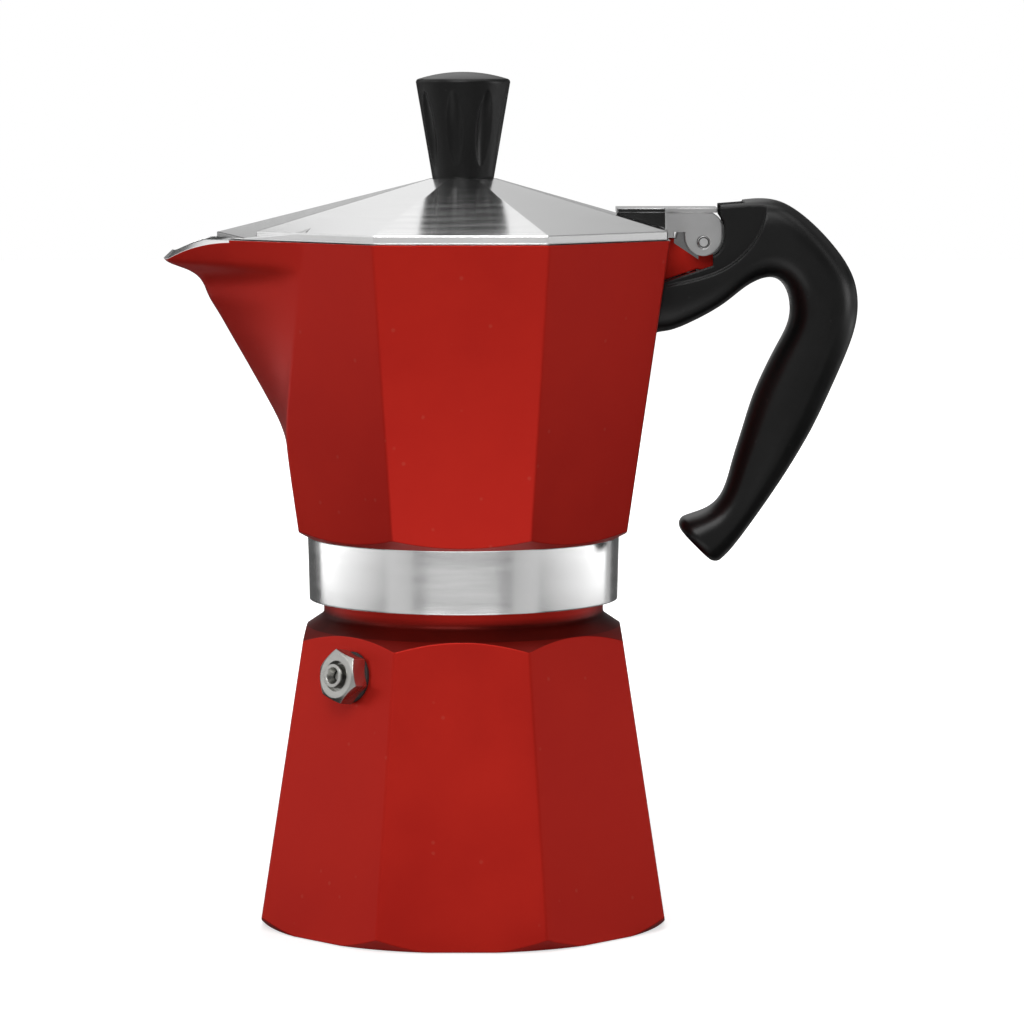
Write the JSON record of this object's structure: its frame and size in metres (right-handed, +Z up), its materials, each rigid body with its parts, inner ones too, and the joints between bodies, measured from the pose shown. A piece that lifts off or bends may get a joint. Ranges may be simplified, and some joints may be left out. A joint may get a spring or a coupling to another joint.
{
  "type": "stovetop moka pot",
  "caption": "Octagonal stovetop coffee maker: boiler with safety valve, coffee funnel, screw-on collector with spout, hinged lid with knob, and a curved handle.",
  "frame": {"origin": "centre of the boiler's flat bottom", "axes": "+Z up, the spout points to -X and the handle to +X"},
  "size_m": [0.1769, 0.104, 0.2166],
  "materials": {
    "red_paint": "satin",
    "lid_aluminium": "brushed",
    "bare_aluminium": "satin",
    "steel": "satin",
    "valve_brass": "plated, satin",
    "white_rubber": "matt",
    "black_moulding": "satin"
  },
  "bodies": {
    "boiler": {"boiler": "red_paint", "valve_body": "valve_brass", "valve_washer": "white_rubber", "valve_retainer": "valve_brass", "valve_spring": "steel"},
    "poppet": {"valve_poppet": "valve_brass"},
    "funnel": {"funnel_cup": "bare_aluminium", "funnel_sieve": "bare_aluminium", "funnel_stem": "bare_aluminium"},
    "collector": {"collector": "red_paint", "riser_column": "bare_aluminium", "gasket": "white_rubber", "filter_plate": "bare_aluminium", "handle": "black_moulding", "handle_screw": "steel", "hinge_pin": "steel"},
    "lid": {"lid": "lid_aluminium", "knob": "black_moulding", "knob_screw": "steel", "knob_washer": "steel"}
  },
  "joints": [
    {"name": "collector_turn", "type": "hinge", "parent": "boiler", "child": "funnel", "pos_m": [0, 0, 0], "axis": [0, 0, 1], "range_deg": [0, 720]},
    {"name": "collector_rise", "type": "slide", "parent": "funnel", "child": "collector", "axis": [0, 0, 1], "range_m": [0, 0.006]},
    {"name": "lid_hinge", "type": "hinge", "parent": "collector", "child": "lid", "pos_m": [0.06093, 0, 0.1737], "axis": [0, 1, 0], "range_deg": [0, 92]},
    {"name": "valve_lift", "type": "slide", "parent": "boiler", "child": "poppet", "axis": [-0.6992, -0.6992, 0.1495], "range_m": [0, 0.0012], "stiffness_N_per_m": 2000, "springref_m": -0.0015, "deforming": ["valve_spring"]}
  ],
  "couplings": [
    {"joint": "collector_rise", "follows": "collector_turn", "m_per_rad": 0.00047746}
  ]
}
